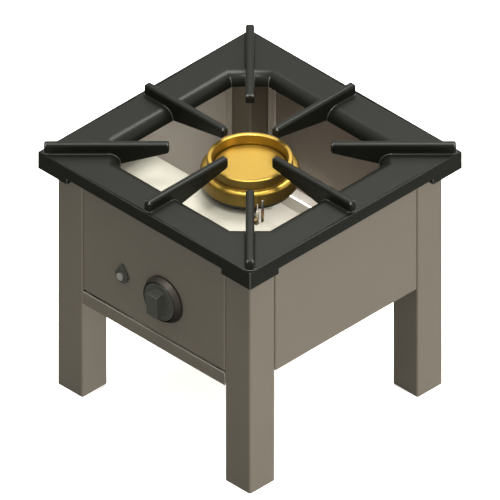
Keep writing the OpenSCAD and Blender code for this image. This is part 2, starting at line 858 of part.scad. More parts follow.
module burner_rail() {
    color(steel) difference() {
        union() {
            translate([-sheet_in, -rail_y, rail_under]) cube([2*sheet_in, rail_w, rail_t]);
            for (y = [-rail_y, -rail_rear - rail_t]) translate([-sheet_in, y, rail_top - rail_h])
                cube([2*sheet_in, rail_t, rail_h]);
            for (x = [-sheet_in, sheet_in - rail_t]) translate([x, -rail_y, rail_top - rail_end_h])
                cube([rail_t, rail_w, rail_end_h]);
        }
        for (s = [-1, 1]) translate([s*bolt_x, -rail_mid, rail_under - over])
            cylinder(r = bolt_r + bolt_play, h = rail_t + 2*over);
    }
}
module heat_shield() {
    color(pale) difference() {
        union() {
            translate([-shield_half, -shield_neck, shield_under])
                cube([2*shield_half, shield_neck - shield_y, sheet_t]);
            translate([-shield_neck, -shield_half, shield_under])
                cube([2*shield_neck, shield_half - shield_y, sheet_t]);
            for (s = [-1, 1]) {
                translate([s > 0 ? 0 : -bay, -tab_y - tab_l/2, shield_under])
                    cube([bay, tab_l, sheet_t]);
                translate([s > 0 ? bay - sheet_t : -bay, -tab_y - tab_l/2, shield_under - tab_h])
                    cube([sheet_t, tab_l, tab_h + sheet_t]);
                translate([s > 0 ? shield_half - sheet_t : -shield_half, -shield_neck, rail_top])
                    cube([sheet_t, shield_neck - shield_y, shield_z - rail_top]);
            }
            translate([-shield_half, -shield_y - sheet_t, shield_z - shield_lip])
                cube([2*shield_half, sheet_t, shield_lip]);
        }
        translate([pilot_x - notch_half, -shield_y - notch_d, shield_z - shield_lip - over])
            cube([2*notch_half, notch_d + over, shield_lip + 2*over]);
        for (s = [-1, 1]) at_tab_screw(s) screw_hole();
    }
}
module round_screw(l) {
    translate([0, 0, -screw_head_h]) cylinder(r = screw_head_r, h = screw_head_h);
    cylinder(r = screw_r, h = l);
}
module shield_screws() {
    color(steel) for (s = [-1, 1]) at_tab_screw(s) translate([0, 0, -sheet_t]) round_screw(screw_l);
}

module burner_body() {
    inner = mix_r + neck_play;
    color(iron) rotate_extrude() polygon([
        [inner, neck_z], [neck_r, neck_z], [neck_r, dish_z], [dish_r - dish_bevel, dish_z],
        [dish_r, dish_z + dish_bevel], [dish_r, seat_z], [dish_r - dish_wall, seat_z],
        [dish_r - dish_wall, dish_z + dish_wall], [inner, dish_z + dish_wall]
    ]);
}
// Places for the slots round the burner's axis, from radius r outwards and from height z up
module at_slots(r, z) {
    for (i = [1:slot_count]) rotate([0, 0, i*360/slot_count])
        translate([r, -slot_w/2, z - over]) children();
}
module burner_crown() {
    e = ring_edge_r;
    color(brass_tone) difference() {
        rotate_extrude() {
            polygon([
                [skirt_in, crown_z], [crown_r, crown_z], [crown_r, bevel_z],
                [crown_r - bevel, crown_top], [ring_in, crown_top], [ring_in, cap_z],
                [ring_in - ledge_w, cap_z], [ring_in - ledge_w, cap_z - ledge_t],
                [crown_in, cap_z - ledge_t], [crown_in, seat_z], [skirt_in, seat_z]
            ]);
            translate([ring_in, crown_top - e]) square([ring_wall, ring_h]);
            translate([ring_in + e, crown_top - e]) square([ring_wall - 2*e, ring_h + e]);
            for (x = [ring_in + e, ring_r - e]) translate([x, ring_top - e]) circle(r = e);
        }
        // Gas leaves the chamber through these into the narrow gap inside the skirt
        at_slots(crown_in - over, seat_z) cube([skirt_in - crown_in + over, slot_w, slot_h + over]);
    }
}
module burner_cap() {
    spigot = ring_in - ledge_w - neck_play;
    inner = spigot - cap_spigot_t;
    color(brass_tone) difference() {
        union() {
            translate([0, 0, cap_z]) cylinder(r = cap_r, h = cap_t - cap_bevel);
            translate([0, 0, crown_top - cap_bevel])
                cylinder(r1 = cap_r, r2 = cap_r - cap_bevel, h = cap_bevel);
            translate([0, 0, cap_z - cap_spigot_h]) tube(spigot, cap_spigot_t, cap_spigot_h);
        }
        at_slots(inner - over, cap_z) cube([cap_r - inner + 2*over, slot_w, slot_h + over]);
    }
}
module mixing_tube() {
    top = neck_z + riser_in;
    front = [0, -mouth_y, mix_z];
    corner = [0, 0, mix_z];
    color(iron) difference() {
        union() {
            pipe_run([front, corner, [0, 0, top]], mix_r, mix_bend);
            to_back(0, -mouth_y, mix_z) cylinder(r1 = mouth_r, r2 = mix_r, h = mouth_l);
            translate([0, 0, shoulder_z]) cylinder(r = neck_r, h = shoulder_t);
            translate([-saddle_half, -saddle_front, rail_under - saddle_t])
                cube([2*saddle_half, saddle_front - saddle_rear, saddle_t]);
            translate([-saddle_web, -saddle_front, mix_z])
                cube([2*saddle_web, saddle_front - saddle_rear, rail_under - mix_z]);
        }
        pipe_run([front - [0, over, 0], corner, [0, 0, top + over]], mix_in, mix_bend);
        to_back(0, -mouth_y - over, mix_z)
            cylinder(r1 = mouth_r - mix_wall + over, r2 = mix_in, h = mouth_l + over);
        for (s = [-1, 1]) translate([s*bolt_x, -rail_mid, rail_under - saddle_t - over])
            cylinder(r = bolt_r + screw_play, h = saddle_t + 2*over);
    }
}
module burner_bolts() {
    color(steel) for (s = [-1, 1]) translate([s*bolt_x, -rail_mid, 0]) {
        translate([0, 0, rail_top]) hexagon(bolt_head_r, bolt_head_h);
        translate([0, 0, rail_top - bolt_l]) cylinder(r = bolt_r, h = bolt_l);
    }
}

module injector_bracket() {
    color(steel) difference() {
        union() {
            translate([-bracket_half, holder_end, mix_z - bracket_tail])
                cube([2*bracket_half, bracket_t, rail_top + bracket_t - mix_z + bracket_tail]);
            translate([-bracket_half, holder_end, rail_top])
                cube([2*bracket_half, -rail_y + bracket_rest - holder_end, bracket_t]);
        }
        to_back(0, holder_end - over, mix_z)
            cylinder(r = barrel_r + screw_play, h = bracket_t + 2*over);
    }
}
module injector_holder() {
    color(brass_tone) difference() {
        union() {
            translate([-holder_half, port_plane - holder_l/2, mix_z - holder_half])
                cube([2*holder_half, holder_l, 2*holder_half]);
            to_back(0, holder_end, mix_z) cylinder(r = barrel_r, h = barrel_l);
            to_right(-holder_boss_l, port_plane, mix_z) cylinder(r = holder_boss_r, h = holder_boss_l);
        }
        to_back(0, port_plane, mix_z) cylinder(r = holder_bore, h = holder_l + barrel_l);
        to_right(-holder_boss_l - over, port_plane, mix_z)
            cylinder(r = port_bore, h = holder_boss_l + over);
    }
}
module holder_nut() {
    color(steel) to_back(0, holder_end + bracket_t, mix_z)
        hex_nut(holder_nut_r, barrel_r + screw_play, nut_t);
}
module injector() {
    color(brass_tone) to_back(0, barrel_end, mix_z) difference() {
        union() {
            hexagon(nozzle_hex_r, nozzle_hex_l);
            translate([0, 0, nozzle_hex_l]) cylinder(r1 = nozzle_r, r2 = nozzle_tip_r, h = nozzle_l);
        }
        translate([0, 0, -over]) cylinder(r = nozzle_bore, h = nozzle_hex_l + nozzle_l + 2*over);
    }
}
module air_shutter() {
    color(steel) to_back(0, shutter_y, mix_z) difference() {
        union() {
            cylinder(r = shutter_hub_r, h = shutter_hub_l);
            translate([0, 0, shutter_hub_l]) cylinder(r = shutter_r, h = shutter_t);
        }
        translate([0, 0, -over])
            cylinder(r = barrel_r + run_gap, h = shutter_hub_l + shutter_t + 2*over);
        rotate([90, 0, 0]) translate([0, thumb_y, 0])
            cylinder(r = thumb_r + screw_play, h = shutter_hub_r + over);
    }
}
module shutter_screw() {
    base = mix_z + barrel_r + thumb_gap;
    head_z = mix_z + shutter_hub_r + thumb_gap;
    color(steel) translate([0, shutter_y + thumb_y, 0]) {
        translate([0, 0, base]) cylinder(r = thumb_r, h = head_z - base);
        translate([0, 0, head_z]) cylinder(r = thumb_head_r, h = thumb_head_h);
    }
}

module gas_valve_body() {
    color(brass_tone) difference() {
        union() {
            to_back(valve_x, bonnet_y, control_z) cylinder(r = valve_r, h = valve_l);
            to_back(valve_x, valve_end, control_z) cylinder(r = magnet_r, h = magnet_l);
            to_right(valve_x, port_plane, control_z) cylinder(r = inlet_boss_r, h = inlet_boss_l);
            to_right(valve_x - outlet_boss_l, port_plane, control_z)
                cylinder(r = outlet_boss_r, h = outlet_boss_l);
            translate([valve_x, port_plane, control_z]) cylinder(r = pilot_boss_r, h = pilot_boss_l);
        }
        to_back(valve_x, bonnet_y - over, control_z)
            cylinder(r = plug_r + run_gap, h = turn_l + 2*turn_gap + over);
        to_right(valve_x, port_plane, control_z) cylinder(r = inlet_bore, h = inlet_boss_l + over);
        to_right(valve_x - outlet_boss_l - over, port_plane, control_z)
            cylinder(r = port_bore, h = outlet_boss_l + over);
        translate([valve_x, port_plane, control_z])
            cylinder(r = pilot_bore, h = pilot_boss_l + over);
        at_bonnet_screws() cylinder(r = bonnet_screw_r + screw_play, h = bonnet_screw_l + over);
    }
}
module at_bonnet_screws() {
    for (s = [-1, 1]) to_back(valve_x, front_in, control_z + s*bonnet_screw_z) children();
}
module valve_bonnet() {
    color(brass_tone) difference() {
        to_back(valve_x, front_in, control_z) linear_extrude(height = bonnet_t) {
            circle(r = valve_r);
            square([2*ear_x, 2*bonnet_ear_r], center = true);
            for (s = [-1, 1]) translate([s*ear_x, 0]) circle(r = bonnet_ear_r);
        }
        to_back(valve_x, front_in - over, control_z)
            cylinder(r = spindle_r + run_gap, h = bonnet_t + 2*over);
        for (s = [-1, 1]) to_back(valve_x + s*ear_x, front_in - over, control_z)
            cylinder(r = screw_r + screw_play, h = bonnet_t + 2*over);
        translate([0, -over, 0]) at_bonnet_screws()
            cylinder(r = bonnet_screw_r + screw_play, h = bonnet_t + 2*over);
    }
}
module bonnet_screws() {
    color(steel) at_bonnet_screws() {
        translate([0, 0, -bonnet_head_h]) cylinder(r = bonnet_head_r, h = bonnet_head_h);
        cylinder(r = bonnet_screw_r, h = bonnet_screw_l);
    }
}
// A round bar's section with one flat on its right side
module flatted(r, flat) {
    difference() {
        circle(r = r);
        translate([r - flat, -r]) square([2*r, 2*r]);
    }
}
module valve_plug() {
    bore_l = spindle_end + knob_travel + turn_gap - turn_y;
    color(brass_tone) difference() {
        to_back(valve_x, turn_y, control_z) cylinder(r = plug_r, h = turn_l);
        to_back(valve_x, turn_y - over, control_z) linear_extrude(height = bore_l + over)
            flatted(spindle_r + run_gap, spindle_flat);
        to_right(valve_x - plug_r - over, port_plane, control_z)
            cylinder(r = port_bore, h = 2*(plug_r + over));
    }
}
module valve_spindle() {
    color(steel) to_back(valve_x, spindle_front, control_z)
        linear_extrude(height = spindle_end - spindle_front) flatted(spindle_r, spindle_flat);
}
module valve_screws() {
    l = bezel_floor + sheet_t + bonnet_t - turn_gap;
    color(steel) for (s = [-1, 1]) to_back(valve_x + s*ear_x, front_out - bezel_floor, control_z)
        round_screw(l);
}
module spindle_spring() {
    color(steel) to_back(valve_x, hub_y, control_z) tube(spring_r, spring_wall, front_in - hub_y);
}

module knob_bezel() {
    hole = panel_hole_r + turn_gap;
    color(dark_steel) difference() {
        to_front(valve_x, front_out, control_z) rotate_extrude() polygon([
            [hole, 0], [bezel_r, 0], [bezel_r, bezel_rim], [bezel_in + bezel_lip, bezel_h],
            [bezel_in, bezel_h], [bezel_in, bezel_floor], [hole, bezel_floor]
        ]);
        for (s = [-1, 1]) to_front(valve_x + s*ear_x, front_out + over, control_z)
            cylinder(r = screw_r + screw_play, h = bezel_floor + 2*over);
    }
}
module round_rect(w, h, r) {
    square([w, h - 2*r], center = true);
    square([w - 2*r, h], center = true);
    for (i = [-1, 1], j = [-1, 1]) translate([i*(w/2 - r), j*(h/2 - r)]) circle(r = r);
}
module control_knob() {
    l = grip_l/2;
    flat = spindle_flat - clip_t - 2*knob_play;
    color(black) difference() {
        to_front(valve_x, hub_y, control_z) {
            rotate_extrude() polygon([
                [0, 0], [hub_r, 0], [hub_r, hub_t - hub_bevel], [hub_r - hub_bevel, hub_t],
                [0, hub_t]
            ]);
            translate([0, 0, hub_t - over]) intersection() {
                linear_extrude(height = grip_d + over) round_rect(grip_w, grip_l, grip_r);
                rotate([90, 0, 90]) linear_extrude(height = grip_w + over, center = true)
                    polygon([[-l, 0], [l, 0], [l - grip_slope, grip_d + over],
                        [grip_slope - l, grip_d + over]]);
            }
        }
        to_back(valve_x, spindle_front - bore_gap, control_z)
            linear_extrude(height = hub_y - spindle_front + bore_gap + over)
                flatted(spindle_r + knob_play, flat);
    }
}
module knob_clip() {
    x = valve_x + spindle_r - spindle_flat + knob_play;
    color(steel) translate([x, hub_y - hub_t/2 - clip_l, control_z - clip_w/2])
        cube([clip_t, clip_l, clip_w]);
}

module igniter_collar() {
    t = acos(collar_r/collar_tip);
    side = collar_r*sin(t);
    color(black) to_front(igniter_x, front_out, control_z) linear_extrude(height = collar_t)
        difference() {
            union() {
                circle(r = collar_r);
                polygon([[0, collar_tip], [-side, collar_r*cos(t)], [0, 0], [side, collar_r*cos(t)]]);
            }
            circle(r = button_r + button_hole_play);
        }
}
module igniter_body() {
    color(black) to_back(igniter_x, front_out, control_z) difference() {
        union() {
            cylinder(r = igniter_r, h = igniter_l);
            cylinder(r = terminal_r, h = igniter_l + terminal_l);
        }
        translate([0, 0, -over]) cylinder(r = button_r + button_play, h = button_bore_l + over);
    }
}
module igniter_nut() {
    color(steel) to_back(igniter_x, front_in, control_z)
        hex_nut(igniter_nut_r, igniter_r + igniter_play, nut_t);
}
module igniter_button() {
    e = button_edge;
    color(steel) to_back(igniter_x, front_out - button_out, control_z) {
        cylinder(r1 = button_r - e, r2 = button_r, h = e);
        translate([0, 0, e]) cylinder(r = button_r, h = button_l - e);
    }
}
module igniter_spring() {
    start = front_out - button_out + button_l;
    color(steel) to_back(igniter_x, start, control_z)
        tube(igniter_spring_r, igniter_spring_wall, front_out + button_bore_l - start);
}

module pilot_bracket() {
    plate_front = rail_rear;
    under = pilot_plate_z - pilot_plate_t;
    color(steel) difference() {
        union() {
            translate([pilot_x - pilot_plate_half, -plate_front, under])
                cube([2*pilot_plate_half, plate_front - pilot_plate_rear, pilot_plate_t]);
            translate([pilot_x - pilot_plate_half, -plate_front, under])
                cube([2*pilot_plate_half, pilot_plate_t, pilot_arm_h + pilot_plate_t]);
        }
        for (i = [0:2]) translate([pilot_places[i].x, pilot_places[i].y, under - over])
            cylinder(r = pilot_stems[i] + pilot_play, h = pilot_plate_t + 2*over);
    }
}
module at_pilot(i) { translate([pilot_places[i].x, pilot_places[i].y, pilot_plate_z]) children(); }
module pilot_burner() {
    low = pilot_plate_t + pilot_tail;
    color(dark_steel) at_pilot(0) {
        translate([0, 0, -low]) cylinder(r = pilot_stem_r, h = low + pilot_stem_h);
        cylinder(r = pilot_collar_r, h = pilot_collar_h);
        translate([0, 0, pilot_stem_h]) cylinder(r = pilot_hood_r, h = pilot_hood_h);
    }
}
module thermocouple() {
    low = pilot_plate_t + pilot_tail;
    top = thermo_top - pilot_plate_z;
    color(steel) at_pilot(1) {
        translate([0, 0, -low]) cylinder(r = probe_r, h = low + top - probe_tip_h);
        translate([0, 0, top - probe_tip_h]) cylinder(r1 = probe_r, r2 = probe_tip_r, h = probe_tip_h);
        cylinder(r = probe_collar_r, h = probe_collar_h);
    }
}
module spark_electrode() {
    low = pilot_plate_t + pilot_tail;
    top = spark_top - pilot_plate_z;
    color(pale) at_pilot(2) {
        translate([0, 0, -low]) cylinder(r = spark_r, h = low + top - spark_wire_h);
        translate([0, 0, top - spark_wire_h]) cylinder(r = spark_wire_r, h = spark_wire_h);
        cylinder(r = probe_collar_r, h = probe_collar_h);
    }
}
module pilot_nuts() {
    color(steel) for (i = [0:2]) at_pilot(i) translate([0, 0, -pilot_plate_t - pilot_nut_t])
        hex_nut(pilot_nut_r[i], pilot_stems[i] + pilot_play, pilot_nut_t);
}

// Pipes and leads, each from its boss or terminal to the piece that it feeds
module burner_pipe() {
    color(steel) hollow_run([
        [valve_left, port_plane, control_z], [loop_x, port_plane, control_z],
        [loop_x, port_plane, mix_z], [-holder_boss_l, port_plane, mix_z]
    ], burner_pipe_r, pipe_wall, pipe_bend);
}
module inlet_pipe() {
    color(steel) hollow_run([
        [valve_right, port_plane, control_z], [inlet_x, port_plane, control_z],
        [inlet_x, fit_start, control_z]
    ], inlet_pipe_r, pipe_wall, inlet_bend);
}
module pilot_pipe() {
    color(steel) pipe_run([
        [valve_x, port_plane, valve_up], [valve_x, port_plane, pilot_run_z],
        [pilot_x, port_plane, pilot_run_z], [pilot_x, -pilot_y, pilot_run_z],
        [pilot_x, -pilot_y, pilot_foot]
    ], pilot_pipe_r, lead_bend);
}
module thermocouple_lead() {
    x = pilot_places[1].x;
    color(brass_tone) pipe_run([
        [valve_x, valve_end + magnet_l, control_z], [valve_x, -thermo_y, control_z],
        [x, -thermo_y, control_z], [x, -probe_y, control_z], [x, -probe_y, pilot_foot]
    ], thermo_lead_r, lead_bend);
}
module ignition_lead() {
    x = pilot_places[2].x;
    low = control_z - spark_drop;
    color(black) pipe_run([
        [igniter_x, front_out + igniter_l + terminal_l, control_z],
        [igniter_x, -spark_y, control_z], [igniter_x, -spark_y, low], [x, -spark_y, low],
        [x, -probe_y, low], [x, -probe_y, pilot_foot]
    ], spark_lead_r, lead_bend);
}
module pipe_nuts() {
    burner_bore = burner_pipe_r + pipe_play;
    inlet_nut_bore = inlet_pipe_r + pipe_play;
    color(brass_tone) {
        to_right(valve_left - pipe_nut_t, port_plane, control_z)
            hex_nut(burner_nut_r, burner_bore, pipe_nut_t);
        to_right(-holder_boss_l - pipe_nut_t, port_plane, mix_z)
            hex_nut(burner_nut_r, burner_bore, pipe_nut_t);
        to_right(valve_right, port_plane, control_z)
            hex_nut(inlet_nut_r, inlet_nut_bore, pipe_nut_t);
        to_back(inlet_x, fit_start - pipe_nut_t, control_z)
            hex_nut(inlet_nut_r, inlet_nut_bore, pipe_nut_t);
    }
}
module inlet_fitting() {
    l = inlet_end - fit_start;
    color(brass_tone) to_back(inlet_x, fit_start, control_z) difference() {
        union() {
            hexagon(fit_hex_r, fit_hex_l);
            translate([0, 0, fit_hex_l]) cylinder(r = fit_flange_r, h = fit_flange_t);
            translate([0, 0, sheet_in - fit_start])
                cylinder(r = fit_barrel_r, h = fit_barrel_end - sheet_in);
            cylinder(r = inlet_r, h = l);
        }
        translate([0, 0, -over]) cylinder(r = inlet_pipe_r - pipe_wall, h = l + 2*over);
    }
}
module inlet_locknut() {
    color(brass_tone) to_back(inlet_x, half, control_z)
        hex_nut(locknut_r, fit_barrel_r + pipe_play, locknut_t);
}

leg_front_left();
leg_front_right();
leg_rear_left();
leg_rear_right();
foot_plugs();
leg_top_plates();
front_panel();
left_panel();
right_panel();
back_panel();
panel_rivets();
tray_runner_left();
tray_runner_right();
runner_rivets();
drip_tray();
pan_support();
burner_rail();
heat_shield();
shield_screws();
burner_body();
burner_crown();
burner_cap();
mixing_tube();
burner_bolts();
air_shutter();
shutter_screw();
injector_bracket();
injector_holder();
holder_nut();
injector();
gas_valve_body();
valve_bonnet();
bonnet_screws();
valve_plug();
valve_spindle();
valve_screws();
spindle_spring();
knob_bezel();
control_knob();
knob_clip();
igniter_collar();
igniter_body();
igniter_nut();
igniter_button();
igniter_spring();
pilot_bracket();
pilot_burner();
thermocouple();
spark_electrode();
pilot_nuts();
burner_pipe();
inlet_pipe();
pilot_pipe();
thermocouple_lead();
ignition_lead();
pipe_nuts();
inlet_fitting();
inlet_locknut();
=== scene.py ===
import math

import bmesh
import bpy
import numpy as np
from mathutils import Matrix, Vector


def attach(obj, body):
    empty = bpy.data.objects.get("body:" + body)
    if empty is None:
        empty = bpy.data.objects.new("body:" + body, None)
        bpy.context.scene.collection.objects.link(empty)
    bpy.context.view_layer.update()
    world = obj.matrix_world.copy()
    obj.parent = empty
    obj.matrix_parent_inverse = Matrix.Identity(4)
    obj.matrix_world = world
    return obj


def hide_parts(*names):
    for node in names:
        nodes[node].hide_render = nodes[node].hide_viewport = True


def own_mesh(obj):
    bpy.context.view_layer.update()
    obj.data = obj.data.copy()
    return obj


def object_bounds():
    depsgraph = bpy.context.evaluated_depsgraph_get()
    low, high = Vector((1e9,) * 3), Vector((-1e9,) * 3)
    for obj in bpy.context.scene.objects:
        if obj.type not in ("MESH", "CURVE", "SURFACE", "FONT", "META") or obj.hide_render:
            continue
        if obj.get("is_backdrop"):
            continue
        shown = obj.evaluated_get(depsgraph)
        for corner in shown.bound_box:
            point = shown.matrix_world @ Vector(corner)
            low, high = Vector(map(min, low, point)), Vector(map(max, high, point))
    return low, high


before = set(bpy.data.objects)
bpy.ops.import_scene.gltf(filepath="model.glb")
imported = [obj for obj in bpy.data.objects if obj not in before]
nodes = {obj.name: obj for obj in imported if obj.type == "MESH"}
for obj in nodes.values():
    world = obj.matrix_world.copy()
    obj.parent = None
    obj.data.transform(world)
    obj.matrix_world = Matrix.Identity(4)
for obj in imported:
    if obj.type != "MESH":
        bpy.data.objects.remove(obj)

cad_low, cad_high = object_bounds()
mm = 0.001

# Directions, and axes as (a place in mm, a direction) that several pieces share. The front's and
# back's outer faces stand FACE mm from the burner's axis.
X, Y, Z = (1, 0, 0), (0, 1, 0), (0, 0, 1)
GAS_HEIGHT = 253
BURNER, INJECTOR = ((0, 0, 0), Z), ((0, 0, 300), Y)
VALVE, IGNITER, INLET = (((x, 0, GAS_HEIGHT), Y) for x in (21.6, -61.5, 118))
FACE = 192.5


# Camera. The picture is an isometric view: all three axes are seen at one scale, from the front
# right and above, so the lens is orthographic and its frame is a fixed width on the object.
def aimed(name, data, place, target):
    """A camera or light at a place, turned to look at a target."""
    holder = bpy.data.objects.new(name, data)
    holder.location = place
    holder.rotation_mode = "QUATERNION"
    holder.rotation_quaternion = (Vector(target) - Vector(place)).to_track_quat("-Z", "Y")
    bpy.context.scene.collection.objects.link(holder)
    return holder


FRAME_WIDTH = 706.7*mm
LOOK_AT = Vector((0, 0, 230.4*mm))
ISOMETRIC = Vector((1, -1, 1)).normalized()
CAMERA_DISTANCE = 3
camera = aimed("camera", bpy.data.cameras.new("camera"),
               LOOK_AT + ISOMETRIC*CAMERA_DISTANCE, LOOK_AT)
camera.data.type = "ORTHO"
camera.data.ortho_scale = FRAME_WIDTH
bpy.context.scene.camera = camera
bpy.context.scene.view_settings.view_transform = "Standard"


def colour(hex_code):
    """sRGB hex code to linear RGBA: c/12.92 below 0.04045, else ((c + 0.055)/1.055)**2.4."""
    s = np.array([int(hex_code[i:i + 2], 16) for i in (1, 3, 5)])/255
    return (*np.where(s <= 0.04045, s/12.92, ((s + 0.055)/1.055)**2.4), 1)


def add_node(tree, kind, settings=None, **links):
    """Adds one node. A setting goes on the property of that name, or else on the input socket.
    A link's name is an input socket's, with _ for a space, and its value the socket it takes."""
    node = tree.nodes.new(kind)
    for name, value in (settings or {}).items():
        if hasattr(node, str(name)):
            setattr(node, name, value)
        else:
            node.inputs[name].default_value = value
    for name, socket in links.items():
        key = int(name[1:]) if name[0] == "i" and name[1:].isdigit() else name.replace("_", " ")
        tree.links.new(node.inputs[key], socket)
    return node


# Studio. A soft dome that is bright overhead and on the object's right, and dim towards the
# floor and the front, with large lamps overhead, above the right side and behind. A narrow spot
# shines past the burner on the drip tray.
# In direction d the dome's strength is DOME_SLOPE.d + DOME_LEVEL + DOME_TOP max(0, dz)^4
DOME_SLOPE, DOME_LEVEL, DOME_TOP = (0.27, 0.17, 0.66), 0.706, 2
world = bpy.data.worlds.new("studio")
bpy.context.scene.world = world
world.use_nodes = True
sky = world.node_tree
sky.nodes.clear()
way = add_node(sky, "ShaderNodeTexCoord")
slope = add_node(sky, "ShaderNodeVectorMath", {"operation": "DOT_PRODUCT", 1: DOME_SLOPE},
                 i0=way.outputs["Generated"])
side = add_node(sky, "ShaderNodeMath", {"operation": "ADD", 1: DOME_LEVEL},
                i0=slope.outputs["Value"])
up = add_node(sky, "ShaderNodeSeparateXYZ", i0=way.outputs["Generated"])
up = add_node(sky, "ShaderNodeMath", {"operation": "MAXIMUM", 1: 0}, i0=up.outputs["Z"])
up = add_node(sky, "ShaderNodeMath", {"operation": "POWER", 1: 4}, i0=up.outputs[0])
level = add_node(sky, "ShaderNodeMath", {"operation": "MULTIPLY_ADD", 1: DOME_TOP},
                 i0=up.outputs[0], i2=side.outputs[0])
dome = add_node(sky, "ShaderNodeBackground", {"Color": colour("#fffdf8")},
                Strength=level.outputs[0])
add_node(sky, "ShaderNodeOutputWorld", Surface=dome.outputs[0])

# What the lamps and the spot aim at, in m
BODY, TRAY = (0, 0, 0.2), (-0.07, 0.135, 0.164)
for name, place, size, power in (
        ("right_lamp", (4.5, 1.2, 3.2), 2.5, 90),
        ("top_lamp", (0.5, -0.9, 5.7), 1.6, 170),
        ("rear_lamp", (-1.3, 2.2, 4.5), 2.2, 240)):
    lamp = bpy.data.lights.new(name, "AREA")
    lamp.shape = "DISK"
    lamp.size = size
    lamp.energy = power
    aimed(name, lamp, place, BODY)
well_light = bpy.data.lights.new("well_light", "SPOT")
well_light.energy = 1500
well_light.shadow_soft_size = 0.05
well_light.spot_size = 0.03
well_light.spot_blend = 0.4
aimed("well_light", well_light, Vector(TRAY) + Vector((0.6, -1.2, 4)), TRAY)


# Floor. A sheet of pale studio paper, lit from behind so that shadows stay light. It isn't part
# of the object.
def material(name):
    """An empty material and its tree."""
    made = bpy.data.materials.new(name)
    made.use_nodes = True
    made.node_tree.nodes.clear()
    return made, made.node_tree


def grid_faces(rows, cols, round_u=False, round_v=False):
    """Quads of a grid of points stored row by row; a round direction joins its end to its start."""
    u = np.arange(rows if round_u else rows - 1)
    v = np.arange(cols if round_v else cols - 1)
    a, b = np.meshgrid(u, v, indexing="ij")
    c, d = (a + 1) % rows, (b + 1) % cols
    return np.stack([a*cols + b, a*cols + d, c*cols + d, c*cols + b], -1).reshape(-1, 4)


def mesh_piece(name, parts, finish, sharp=30):
    """One object from parts of (points in mm, faces). Points at one place become one, so seams and
    poles close, and shells turn outwards. Edges sharper than sharp degrees stay sharp."""
    counts = np.cumsum([0] + [np.size(p)//3 for p, _ in parts])
    points = np.concatenate([np.reshape(p, (-1, 3)) for p, _ in parts])*mm
    faces = np.concatenate([f + n for (_, f), n in zip(parts, counts)])
    mesh = bpy.data.meshes.new(name)
    mesh.from_pydata(points.tolist(), [], faces.tolist())
    form = bmesh.new()
    form.from_mesh(mesh)
    bmesh.ops.remove_doubles(form, verts=form.verts, dist=1e-6)
    bmesh.ops.recalc_face_normals(form, faces=form.faces)
    form.to_mesh(mesh)
    form.free()
    return shown(name, mesh, finish, sharp)


def shown(name, mesh, finish, sharp):
    """Puts a finished mesh into the scene with smooth faces and sharp edges."""
    mesh.polygons.foreach_set("use_smooth", np.ones(len(mesh.polygons), bool))
    mesh.set_sharp_from_angle(angle=math.radians(sharp))
    mesh.materials.clear()
    mesh.materials.append(finish)
    piece = bpy.data.objects.new(name, mesh)
    bpy.context.scene.collection.objects.link(piece)
    return piece


